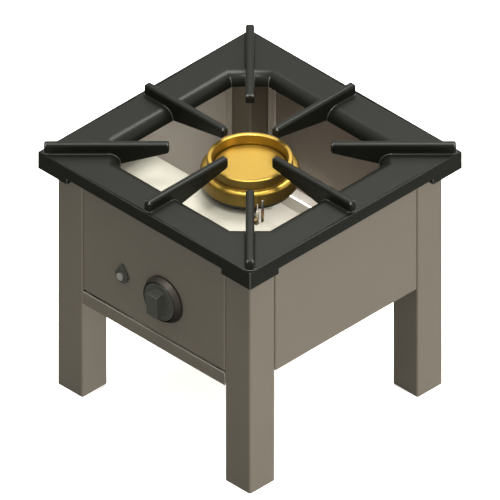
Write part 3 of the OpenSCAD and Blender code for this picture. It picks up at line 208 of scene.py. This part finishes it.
paper, tree = material("studio_paper")
place = add_node(tree, "ShaderNodeTexCoord")
fibre = add_node(tree, "ShaderNodeTexNoise", {"Scale": 60, "Detail": 4},
                 Vector=place.outputs["Object"])
bump = add_node(tree, "ShaderNodeBump", {"Strength": 0.05, "Distance": 0.5*mm},
                Height=fibre.outputs["Fac"])
shade = add_node(tree, "ShaderNodeBsdfPrincipled",
                 {"Base Color": colour("#fdfdfb"), "Roughness": 0.9, "Specular IOR Level": 0.1,
                  "Emission Color": colour("#ffffff"), "Emission Strength": 0.3},
                 Normal=bump.outputs[0])
add_node(tree, "ShaderNodeOutputMaterial", Surface=shade.outputs[0])
reach = np.linspace(-6000, 6000, 25)
gx, gy = np.meshgrid(reach, reach, indexing="ij")
floor = mesh_piece("floor", [(np.stack([gx, gy, gx*0], -1), grid_faces(*gx.shape))], paper)
floor.visible_glossy = False
floor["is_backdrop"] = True


# Legs: 50 mm square tube of satin-ground stainless steel. The grinding belt leaves fine lines
# along each tube. Lines 0.3 mm apart wouldn't show at this size, so they are drawn 1.5 mm apart
# and very faint. The sawn ends are deburred.
def marked(name, base, marks, rough, relief, tone=(0.93, 1.06), blotch=110, about=None, **settings):
    """A finish with marks of a size in mm along x, y and z, that shift its tone and gloss and
    have a relief in mm. With about = (centre, axis) the marks are rings: their coordinates are
    the distance from the axis and the distance along it."""
    made, tree = material(name)
    place = add_node(tree, "ShaderNodeTexCoord").outputs["Object"]
    spot = place
    if about is not None:
        centre, axis = about
        arm = add_node(tree, "ShaderNodeVectorMath",
                       {"operation": "SUBTRACT", 1: tuple(c*mm for c in centre)}, i0=place)
        across = add_node(tree, "ShaderNodeVectorMath", {"operation": "CROSS_PRODUCT", 1: axis},
                          i0=arm.outputs[0])
        radius = add_node(tree, "ShaderNodeVectorMath", {"operation": "LENGTH"},
                          i0=across.outputs[0])
        depth = add_node(tree, "ShaderNodeVectorMath", {"operation": "DOT_PRODUCT", 1: axis},
                         i0=arm.outputs[0])
        spot = add_node(tree, "ShaderNodeCombineXYZ", X=radius.outputs["Value"],
                        Y=depth.outputs["Value"]).outputs[0]
    sized = add_node(tree, "ShaderNodeMapping", {"Scale": tuple(1/(m*mm) for m in marks)},
                     Vector=spot)
    lines = add_node(tree, "ShaderNodeTexNoise", {"Scale": 1, "Detail": 3, "Roughness": 0.55},
                     Vector=sized.outputs[0])
    cloud = add_node(tree, "ShaderNodeTexNoise", {"Scale": 1/(blotch*mm), "Detail": 2},
                     Vector=place)
    fine = add_node(tree, "ShaderNodeMapRange", {"To Min": tone[0], "To Max": tone[1]},
                    Value=lines.outputs["Fac"])
    wide = add_node(tree, "ShaderNodeMapRange", {"To Min": 0.96, "To Max": 1.04},
                    Value=cloud.outputs["Fac"])
    both = add_node(tree, "ShaderNodeMath", {"operation": "MULTIPLY"}, i0=fine.outputs[0],
                    i1=wide.outputs[0])
    tint = add_node(tree, "ShaderNodeVectorMath", {"operation": "SCALE", 0: colour(base)[:3]},
                    Scale=both.outputs[0])
    gloss = add_node(tree, "ShaderNodeMapRange", {"To Min": rough[0], "To Max": rough[1]},
                     Value=lines.outputs["Fac"])
    bump = add_node(tree, "ShaderNodeBump", {"Strength": 0.3, "Distance": relief*mm},
                    Height=lines.outputs["Fac"])
    shade = add_node(tree, "ShaderNodeBsdfPrincipled", settings, Base_Color=tint.outputs[0],
                     Roughness=gloss.outputs[0], Normal=bump.outputs[0])
    add_node(tree, "ShaderNodeOutputMaterial", Surface=shade.outputs[0])
    return made


def stands_for(piece, node, body="root"):
    """Ties a new piece to the body, and hides the CAD node that it stands for."""
    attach(piece, body)
    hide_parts(node)


def fit_easing(form, width, turn):
    """Weights each edge sharper than turn with min(1, 0.45 h/width), where h is the height over
    the edge of the lower triangle beside it, so that easing never folds a thin triangle over."""
    weight = form.edges.layers.float.new("bevel_weight_edge")
    for e in form.edges:
        if e.calc_face_angle(0) > turn:
            height = min(2*f.calc_area()/e.calc_length() for f in e.link_faces)
            e[weight] = min(1, 0.45*height/width)


def eased(node, width, finish, body="root", turn=30, wear_and_highlight=None):
    """A welded copy of a CAD node that stands for it, with each edge sharper than turn degrees
    eased by width mm. Where an edge finish is given, the eased edges get it, a lighter colour
    for wear and a painted highlight, and are fitted to the room beside them."""
    form = bmesh.new()
    form.from_mesh(nodes[node].data)
    bmesh.ops.remove_doubles(form, verts=form.verts, dist=1e-6)
    if wear_and_highlight is not None:
        fit_easing(form, width*mm, math.radians(turn))
    mesh = bpy.data.meshes.new("eased_" + node)
    form.to_mesh(mesh)
    form.free()
    piece = shown("eased_" + node, mesh, finish, 180)
    edge = piece.modifiers.new("eased_edges", "BEVEL")
    edge.width = width*mm
    edge.segments = 2
    edge.limit_method = "ANGLE"
    edge.angle_limit = math.radians(turn)
    edge.use_clamp_overlap = False
    edge.loop_slide = False
    if wear_and_highlight is not None:
        edge.limit_method = "WEIGHT"
        mesh.materials.append(wear_and_highlight)
        edge.material = 1
    piece.modifiers.new("even_shading", "WEIGHTED_NORMAL")
    stands_for(piece, node, body)
    return piece


STEEL = "#938c80"
upright = marked("satin_steel_upright", STEEL, (1.5, 1.5, 80), (0.42, 0.54), 0.05, Metallic=0.9)
for leg in ("leg_front_left", "leg_front_right", "leg_rear_left", "leg_rear_right"):
    eased(leg, 0.5, upright)


# Foot plugs: four black polyethylene caps pressed into the tubes, moulded with a fine dull grain.
def finish_with(finish, *names):
    """Puts a material on CAD nodes."""
    for n in names:
        slots = nodes[n].data.materials
        for i in range(len(slots)):
            slots[i] = finish


plug_black = marked("moulded_polyethylene", "#1d1d1b", (0.8, 0.8, 0.8), (0.5, 0.66), 0.04,
                    (0.8, 1.3))
eased("foot_plugs", 0.6, plug_black)


# Side sheets and leg top plates: 1.5 mm stainless sheet, folded on a brake. Only the outside is
# ground, with the lines level. The inside keeps the mill's matt finish. The inside and the faces
# that look up are painted much paler, as painted light inside the body. The back sheet's inside
# face is painted darker instead, as painted shade.
def outward(normals, centres):
    """How far in mm each face looks away from the vertical axis, as n.x c.x + n.y c.y: below 0
    on faces that look inwards."""
    return (normals[:, :2]*centres[:, :2]).sum(1)


def finish_where(piece, finish, chosen):
    """Gives another finish to the faces that chosen picks from their normals and centres."""
    count = len(piece.data.polygons)
    normals, centres, slots = np.empty(3*count), np.empty(3*count), np.empty(count, np.int32)
    piece.data.polygons.foreach_get("normal", normals)
    piece.data.polygons.foreach_get("center", centres)
    piece.data.polygons.foreach_get("material_index", slots)
    slots[chosen(normals.reshape(-1, 3), centres.reshape(-1, 3)/mm)] = len(piece.data.materials)
    piece.data.polygons.foreach_set("material_index", slots)
    piece.data.materials.append(finish)


# Faces that look inwards from over DEEP mm lie inside the body. SKIN is less than a sheet.
DEEP, SKIN = 100, 0.5
level_lines = marked("satin_steel_level", STEEL, (80, 80, 1.5), (0.42, 0.54), 0.05, Metallic=0.9)
mill_finish_painted_light = marked("mill_stainless_painted_light", "#d8d2c8", (60, 3, 3), (0.5, 0.62), 0.03,
                     (0.95, 1.04), Metallic=0.6)
for sheet in ("front_panel", "left_panel", "right_panel", "back_panel"):
    folded = eased(sheet, 0.35, level_lines)
    # Faces that look up or into the body get the paler mill colour, as painted light.
    finish_where(folded, mill_finish_painted_light, lambda n, c: (n[:, 2] > 0.9) | (outward(n, c) < -DEEP))
# The back sheet's inside face looks to the front and is painted darker, as painted shade.
back_painted_shade = marked("back_inside_painted_shade", "#93897e", (60, 3, 3), (0.5, 0.62), 0.03, (0.94, 1.05),
                 Metallic=0.6)
finish_where(folded, back_painted_shade, lambda n, c: (n[:, 1] < -0.9) & (c[:, 1] < FACE - SKIN))
eased("leg_top_plates", 0.35, mill_finish_painted_light)


# Rivets: 4 mm stainless blind rivets set from inside the body. The domed head lies on the sheet's
# flange, and the pulled tail swells inside the leg tube.
def square_to(axis):
    """The axis as an array, and two directions e and f that are square to it and each other."""
    axis = np.asarray(axis, float)
    e = np.array([0, 0, 1.0]) if abs(axis[0]) > 0.9 else np.array([1.0, 0, 0])
    return axis, e, np.cross(axis, e)


def angles(around):
    """Angles of around points spaced evenly on a circle: 2 pi i/around."""
    return np.arange(around)*2*np.pi/around


def about_axis(radius, height, place, axis, ring):
    """Points about an axis through place, from grids of heights by angles: the point at angle a
    is place + radius (cos a e + sin a f) + height axis, with e and f square to the axis. The
    rows close to a ring where ring is true, and else they start and end on the axis."""
    axis, e, f = square_to(axis)
    a = angles(radius.shape[1])
    spoke = np.outer(np.cos(a), e) + np.outer(np.sin(a), f)
    points = np.asarray(place) + radius[..., None]*spoke + height[..., None]*axis
    return points, grid_faces(*radius.shape, round_u=ring, round_v=True)


def turned(profile, place, axis, around=48):
    """A profile of (radius, height) turned about an axis. A profile that starts and ends on the
    axis is a solid, and any other is a closed ring."""
    radius, height = (np.outer(v, np.ones(around)) for v in np.transpose(profile))
    return about_axis(radius, height, place, axis, profile[0][0] > 0)


def quarters(v, k):
    """A place or direction turned by k quarters about the vertical."""
    c, s = ((1, 0), (0, 1), (-1, 0), (0, -1))[k]
    return np.array([v[0]*c - v[1]*s, v[0]*s + v[1]*c, v[2]])


BAY, RIVET_LINE, RIVET_HEIGHTS = 142.5, 185, (211, 350)
RUNNER_LINE, RUNNER_HEIGHT, RUNNER_STEP = 167.5, 172.55, 0.5
RIVET = [(0, -3.2), (1.4, -3.13), (2.8, -2.85), (3.7, -2.4), (4, -2), (2, -2), (2, 2), (2.6, 2.2),
         (2.8, 3), (2.7, 4.2), (2.1, 5), (0.8, 5), (0.7, 4.4), (0, 4.4)]
rivet_steel = marked("drawn_stainless", "#b1aca1", (0.7, 0.7, 0.7), (0.28, 0.42), 0.02, Metallic=1)
heads = [turned(RIVET, quarters((s*BAY, -RIVET_LINE, z), k), quarters((s, 0, 0), k), 20)
         for k in range(4) for s in (-1, 1) for z in RIVET_HEIGHTS]
stands_for(mesh_piece("panel_rivets_domed", heads, rivet_steel),
           "panel_rivets")
heads = [turned(np.add(RIVET, (0, RUNNER_STEP)), (s*BAY, y, RUNNER_HEIGHT), (s, 0, 0), 20)
         for s in (-1, 1) for y in (-RUNNER_LINE, RUNNER_LINE)]
stands_for(mesh_piece("runner_rivets_domed", heads, rivet_steel),
           "runner_rivets")


# Drip tray: bright cold-rolled sheet. It is smoother and lighter than the outside, with the mill's
# long rolling lines. Only the tray's front is ground to match the front sheet, and its runners get
# the same ground finish.
tray_sheet = marked("bright_rolled_sheet", "#a8a398", (90, 2, 2), (0.44, 0.56), 0.03, (0.96, 1.03),
                    Metallic=0.3)
tray = eased("drip_tray", 0.35, tray_sheet, "drip_tray")
finish_where(tray, level_lines, lambda n, c: (n[:, 1] < -0.9) & (c[:, 1] < SKIN - FACE))
for runner in ("tray_runner_left", "tray_runner_right"):
    eased(runner, 0.3, level_lines)


# Burner rail, injector bracket and pilot bracket: zinc-plated steel strip, spot-welded. The zinc
# dries to a pale skin with soft clouds a few millimetres across.
zinc = marked("zinc_plated_steel", "#a9aaa6", (5, 5, 5), (0.34, 0.52), 0.03, (0.88, 1.08), 40,
              Metallic=0.95)
for strip in ("burner_rail", "injector_bracket", "pilot_bracket"):
    eased(strip, 0.3, zinc)


# Heat shield: bright sheet that lies on the rail, keeps the burner's heat off the valve, and is
# held by a slotted screw through a tab at each front leg.
shield_sheet = marked("heated_bright_sheet", "#9a978a", (90, 2, 2), (0.6, 0.7), 0.03, (0.96, 1.03),
                      Metallic=0.15)
eased("heat_shield", 0.3, shield_sheet)


def threaded(r, pitch, depth, low, high, place, axis, bore=0, around=32):
    """A screw thread. At height h and angle a the radius is r less depth times the distance of
    h/pitch - a/turn from its nearest half, doubled; both ends run out to the root."""
    h = np.linspace(low, high, int((high - low)/pitch*6) + 1)
    tooth = np.abs(2*((h[:, None]/pitch - angles(around)/(2*np.pi)) % 1) - 1)
    runout = np.clip(np.minimum(h - low, high - h)/pitch*1.5, 0, 1)[:, None]
    radius = r - depth*(1 - (1 - tooth)*runout)
    radius = np.concatenate([radius[:1]*0 + bore, radius, radius[:1]*0 + bore])
    h = np.concatenate([[low], h, [high]])[:, None] + 0*radius
    return about_axis(radius, h, place, axis, bore > 0)


def slotted_screw(head_r, head_h, shank_r, length, place, axis):
    """A round-head screw with a straight slot. The head is a grid of chords: across the chord at x
    its points reach the circle, and the height is head_h (1 - (d/head_r)^2.6)^0.6 at distance d
    from the axis, cut down to a floor inside the slot. A flat grid closes it underneath."""
    slot = 0.16*head_r
    x = np.concatenate([head_r*np.sin(np.linspace(-np.pi/2, -0.2, 9)), [-slot, -0.98*slot]])
    x = np.concatenate([x, -x[::-1]])[:, None]
    y = np.sin(np.linspace(-np.pi/2, np.pi/2, 15))*np.sqrt(np.clip(head_r**2 - x**2, 0, None))
    x = x + 0*y
    h = head_h*np.clip(1 - (np.hypot(x, y)/head_r)**2.6, 0, 1)**0.6
    h = np.where(np.abs(x) < 0.99*slot, np.minimum(h, 0.45*head_h), h)
    axis, e, f = square_to(axis)
    flat = np.asarray(place) + x[..., None]*e + y[..., None]*f
    faces = grid_faces(*x.shape)
    return [(flat - h[..., None]*axis, faces), (flat, faces),
            threaded(shank_r, 0.8, 0.12*shank_r + 0.12, 0, length, place, axis, around=20)]


# M4 and M3 screws: head radius, head height and shank radius in mm
M4, M3 = (3.6, 2.4, 1.9), (2.8, 2, 1.4)
parts = [p for s in (-1, 1) for p in slotted_screw(*M4, 9, (s*141, -162.5, 330.5), (s, 0, 0))]
stands_for(mesh_piece("shield_screws_slotted", parts, zinc), "shield_screws")


# Mixing tube and burner body: grey iron castings, shot-blasted and painted with black stove
# paint. The sand leaves grain that stays rough to the touch.
raw_cast = marked("stove_painted_iron", "#2a2a26", (1.6, 1.6, 1.6), (0.55, 0.72), 0.35,
                  (0.75, 1.3), 30)
for casting in ("mixing_tube", "burner_body"):
    eased(casting, 0.8, raw_cast)


# Burner bolts: two M6 zinc-plated hexagon bolts up through the tube's saddle into the rail.
def hexagon_nut(r, bore, low, high, place, axis, around=72):
    """A hexagon with both ends chamfered at 30 degrees. At angle a the side stands at the radius
    g = r cos 30/cos(angle from the middle of its side), and it stops short of the end by
    (g - c) tan 30, where c is the radius of the flat end face."""
    a = angles(around)
    g = r*math.cos(math.pi/6)/np.cos(a % (math.pi/3) - math.pi/6)
    c = 0.96*r*math.cos(math.pi/6) + 0*a
    cut = (g - c)*math.tan(math.pi/6)
    radius = np.stack([0*a + bore, c, g, g, c, 0*a + bore])
    h = np.stack([0*a + low, 0*a + low, low + cut, high - cut, 0*a + high, 0*a + high])
    return about_axis(radius, h, place, axis, bore > 0)


parts = [p for s in (-1, 1) for p in (
    hexagon_nut(5.6, 0, 0, 4, (s*22, -77, 332.5), Z),
    threaded(3, 1, 0.5, -13, 0, (s*22, -77, 332.5), Z))]
stands_for(mesh_piece("burner_bolts_cut", parts, zinc, 20), "burner_bolts")


# Burner crown and cap: cast brass, turned on a lathe. The tool leaves fine rings about the
# burner's axis, 0.2 mm apart and drawn 1.2 mm apart. The crown's outer walls are painted darker
# and made rougher, as painted shade, while the tops and broken edges keep the brighter brass.
crown_brass = marked("turned_brass", "#967a33", (1.2, 1.2, 1.2), (0.24, 0.36), 0.02,
                     (0.94, 1.05), 60, BURNER, Metallic=0.9)
crown_walls_painted_shade = marked("brass_walls_painted_shade", "#786432", (1.2, 1.2, 1.2), (0.34, 0.46), 0.02,
                (0.88, 1.1), 60, BURNER, Metallic=0.9)
# The crown's outward walls are picked by their normals and painted darker, as painted shade.
finish_where(eased("burner_crown", 0.35, crown_brass, turn=50), crown_walls_painted_shade,
             lambda n, c: (np.abs(n[:, 2]) < 0.3) & (outward(n, c) > 0))
eased("burner_cap", 0.35, crown_brass)


# Injector, its holder and the gas valve: extruded brass bar, milled and turned, a little duller
# than the burner from handling and gas.
fitting_brass = marked("machined_brass", "#c9a254", (1, 1, 1), (0.26, 0.4), 0.02, (0.9, 1.06), 25,
                       Metallic=1)
for fitting in ("injector_holder", "gas_valve_body", "valve_bonnet"):
    eased(fitting, 0.4, fitting_brass)
finish_with(marked("turned_nozzle_brass", "#d0a850", (0.6, 0.6, 0.6), (0.2, 0.34), 0.01,
                   about=INJECTOR, Metallic=1), "injector")
finish_with(marked("lapped_plug_brass", "#c39d52", (0.5, 0.5, 0.5), (0.16, 0.3), 0.01,
                   about=VALVE, Metallic=1), "valve_plug")
nut = hexagon_nut(12.5, 8.1, -153, -148, *INJECTOR)
stands_for(mesh_piece("holder_nut_cut", [nut], zinc, 20), "holder_nut")


# Air shutter: a zinc-plated disc on a hub that slides on the holder, held by a thumb screw.
eased("air_shutter", 0.3, zinc, "air_shutter")
eased("shutter_screw", 0.3, zinc, "air_shutter")


# Valve screws and spindle: slotted steel screws, and a turned spindle with a milled flat that
# carries the knob. The clip is a strip of spring steel in the knob.
(valve_x, _, valve_z), _ = VALVE
parts = [p for s in (-1, 1)
         for p in slotted_screw(*M4, 9, (valve_x + s*24, -193.5, valve_z), Y)]
stands_for(mesh_piece("valve_screws_slotted", parts, zinc), "valve_screws")
parts = [p for s in (-1, 1)
         for p in slotted_screw(*M3, 14, (valve_x, -191, valve_z + s*13), Y)]
stands_for(mesh_piece("bonnet_screws_slotted", parts, zinc), "bonnet_screws")
spindle_steel = marked("turned_steel", "#a8a7a3", (0.5, 0.5, 0.5), (0.22, 0.36), 0.01,
                       about=VALVE, Metallic=1)
eased("valve_spindle", 0.35, spindle_steel, "knob")
finish_with(spindle_steel, "knob_clip")


# Springs: two compression springs of hard-drawn wire, wound with closed ends. One lies between the
# knob and the valve, the other behind the igniter button. Both shorten when these are pressed, but
# here each is wound at one length.
def carried(route, ring):
    """A closed section of (x, y) carried along a route: each point is the route's point plus
    x e + y f, where e is square to the route and points away from a fixed slant direction."""
    way = np.gradient(route, axis=0)
    way /= np.linalg.norm(way, axis=1)[:, None]
    e = np.cross(way, (0.31, 0.93, 0.2))
    e /= np.linalg.norm(e, axis=1)[:, None]
    f = np.cross(way, e)
    ring = np.asarray(ring)
    body = route[:, None] + ring[None, :, :1]*e[:, None] + ring[None, :, 1:]*f[:, None]
    ends = [np.repeat(route[i:i + 1, None], len(ring), 1) for i in (0, len(route) - 1)]
    points = np.concatenate([ends[0], body, ends[1]])
    return points, grid_faces(len(points), len(ring), round_v=True)


def coil(x, z, y_front, y_back, mean_r, wire_r, turns):
    """A helix along y: the first and last turn rise by one wire each, and the others share the
    rest of the length."""
    t = np.linspace(0, turns, int(turns*24) + 1)
    y = np.interp(t, [0, 1, turns - 1, turns], [y_front + wire_r, y_front + 3*wire_r,
                                                y_back - 3*wire_r, y_back - wire_r])
    route = np.stack([x + mean_r*np.cos(2*np.pi*t), y, z + mean_r*np.sin(2*np.pi*t)], -1)
    a = angles(10)
    return carried(route, wire_r*np.stack([np.cos(a), np.sin(a)], -1))


wire = marked("hard_drawn_wire", "#8f908e", (0.6, 0.6, 0.6), (0.25, 0.4), 0.01, Metallic=1)
for node, joint, keep, ((x, _, z), _), front, back, radius, wire_r, turns in (
        ("spindle_spring", "knob_push", 0.647, VALVE, -199.5, -191, 6.5, 0.6, 4),
        ("igniter_spring", "igniter_push", 0.6, IGNITER, -172.5, -162.5, 4.5, 0.35, 7)):
    wound = coil(x, z, front, back, radius, wire_r, turns)
    spring = mesh_piece(node + "_wound", [wound], wire, 60)
    stands_for(spring, node)
    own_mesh(spring)


# Knob bezel: a turned steel cup, blackened in hot oil, that frames the knob and covers the hole in
# the front sheet. The lathe left fine rings about the valve's axis.
bezel_steel = marked("oil_blacked_steel", "#3d3935", (0.8, 0.8, 0.8), (0.3, 0.42), 0.02,
                     about=VALVE, Metallic=0.9)
eased("knob_bezel", 0.5, bezel_steel)


# Knob: black phenolic, pressed in a mould. It has a satin skin with a very fine pitting, and its
# edges are rounded by the mould.
phenolic = marked("moulded_phenolic", "#2a2b26", (0.9, 0.9, 0.9), (0.34, 0.46), 0.03,
                  (0.85, 1.2), 20)
eased("control_knob", 0.9, phenolic, "knob")


# Igniter: a piezo igniter. The phenolic collar with its pointed top frames the hole in the front
# sheet, the button is grey moulded plastic, and the body behind is held by a nut.
eased("igniter_collar", 0.5, phenolic)
eased("igniter_body", 0.4, phenolic)
button_grey = marked("moulded_polyamide", "#5a5853", (1, 1, 1), (0.3, 0.42), 0.02)
eased("igniter_button", 0.5, button_grey, "igniter_button")
nut = hexagon_nut(14, 9.2, -191, -186, *IGNITER)
stands_for(mesh_piece("igniter_nut_cut", [nut], zinc, 20), "igniter_nut")


# Pilot group: pilot burner, thermocouple and spark electrode on one bracket, each held by a nut
# underneath. The flame has tinted their steel straw, brown and blue towards the tips.
tinted, tree = material("heat_tinted_steel")
place = add_node(tree, "ShaderNodeTexCoord").outputs["Object"]
height = add_node(tree, "ShaderNodeSeparateXYZ", i0=place)
share = add_node(tree, "ShaderNodeMapRange", {"From Min": 322*mm, "From Max": 372*mm},
                 Value=height.outputs["Z"])
streak = add_node(tree, "ShaderNodeTexNoise", {"Scale": 700, "Detail": 3}, Vector=place)
shift = add_node(tree, "ShaderNodeMath", {"operation": "MULTIPLY_ADD", 1: 0.12},
                 i0=streak.outputs["Fac"], i2=share.outputs[0])
tints = add_node(tree, "ShaderNodeValToRGB", i0=shift.outputs[0])
ramp = tints.color_ramp.elements
ramp[0].position, ramp[0].color = 0.25, colour("#a8a49a")
ramp[1].position, ramp[1].color = 1.0, colour("#8d8a88")
for spot, tone in ((0.55, "#a8905f"), (0.72, "#7c5a48"), (0.86, "#55586b")):
    ramp.new(spot).color = colour(tone)
gloss = add_node(tree, "ShaderNodeMapRange", {"To Min": 0.28, "To Max": 0.45},
                 Value=streak.outputs["Fac"])
shade = add_node(tree, "ShaderNodeBsdfPrincipled", {"Metallic": 1}, Base_Color=tints.outputs[0],
                 Roughness=gloss.outputs[0])
add_node(tree, "ShaderNodeOutputMaterial", Surface=shade.outputs[0])
eased("pilot_burner", 0.4, tinted)
eased("thermocouple", 0.2, tinted)
ceramic = marked("glazed_ceramic", "#ddd6c8", (1.5, 1.5, 1.5), (0.12, 0.2), 0.01, (0.96, 1.02), 12)
eased("spark_electrode", 0.2, ceramic)
parts = [hexagon_nut(r, bore, 316, 319, (x, y, 0), Z, 48)
         for x, y, r, bore in ((64, -54, 5.5, 3.2), (69, -44, 4.4, 2.2), (59, -44, 4.6, 2.4))]
stands_for(mesh_piece("pilot_nuts_cut", parts, zinc, 20), "pilot_nuts")


# Pipes and leads: zinc-plated steel pipes bent cold, a copper capillary lead to the thermocouple,
# and a lead in silicone rubber to the electrode. The drawn copper is bright with brown patches.
pipe_zinc = marked("zinc_plated_pipe", "#a3a39e", (6, 6, 6), (0.3, 0.44), 0.02, (0.9, 1.06), 30,
                   Metallic=0.95)
finish_with(pipe_zinc, "burner_pipe", "inlet_pipe", "pilot_pipe")
finish_with(marked("drawn_copper", "#b9714a", (8, 1, 8), (0.24, 0.4), 0.01, (0.8, 1.08), 15,
                   Metallic=1), "thermocouple_lead")
finish_with(marked("silicone_rubber", "#26211f", (1.2, 1.2, 1.2), (0.5, 0.62), 0.02),
            "ignition_lead")
# How far in front of the burner's axis the ports of the valve and the holder lie
PORTS = -163
parts = [hexagon_nut(9, 5.1, -12.4, -4.4, (0, PORTS, GAS_HEIGHT), X),
         hexagon_nut(9, 5.1, -26, -18, (0, PORTS, INJECTOR[0][2]), X),
         hexagon_nut(13, 7.6, 55.6, 63.6, (0, PORTS, GAS_HEIGHT), X),
         hexagon_nut(13, 7.6, 167, 175, *INLET)]
stands_for(mesh_piece("pipe_nuts_cut", parts, fitting_brass, 20), "pipe_nuts")


# Gas inlet at the back: a brass fitting with a hexagon and a flange inside the back sheet and a
# male half-inch pipe thread outside, 1.81 mm pitch, held by a lock nut.
def ring(bore, r, low, high, edge, place, axis):
    """A turned ring whose four corners are broken by edge."""
    return turned([(bore, low + edge), (bore + edge, low), (r - edge, low), (r, low + edge),
                   (r, high - edge), (r - edge, high), (bore + edge, high), (bore, high - edge)],
                  place, axis)


INLET_BORE = 6.5
parts = [hexagon_nut(14, INLET_BORE, 175, 187, *INLET),
         ring(INLET_BORE, 17, 187, 191, 0.5, *INLET),
         ring(INLET_BORE, 13, 191, 200, 0.5, *INLET),
         threaded(10.48, 1.814, 1.16, 200, 219, *INLET, INLET_BORE, 64)]
stands_for(mesh_piece("inlet_fitting_threaded", parts, fitting_brass, 20),
           "inlet_fitting")
nut = hexagon_nut(18, 13.1, FACE, 199, *INLET)
stands_for(mesh_piece("inlet_locknut_cut", [nut], fitting_brass, 20),
           "inlet_locknut")


# Pan support: one grey iron casting, dipped in black enamel. Sand leaves an even grain under the
# thin satin enamel. Along the edges the enamel draws back and pans rub it, and the eased edges are
# painted lighter, partly for that wear and partly as a painted highlight.
enamel = marked("black_enamelled_iron", "#12130f", (2.2, 2.2, 2.2), (0.27, 0.33), 0.12,
                (0.85, 1.18), 45, **{"Specular IOR Level": 0.1})
edge_wear_and_highlight = marked("rubbed_edge_painted_highlight", "#42433d", (2.2, 2.2, 2.2), (0.28, 0.38), 0.1,
                     (0.7, 1.3), 20)
eased("pan_support", 0.7, enamel, "pan_support", wear_and_highlight=edge_wear_and_highlight)

size = {"cad": [list(cad_low), list(cad_high)], "visual": [list(v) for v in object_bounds()]}
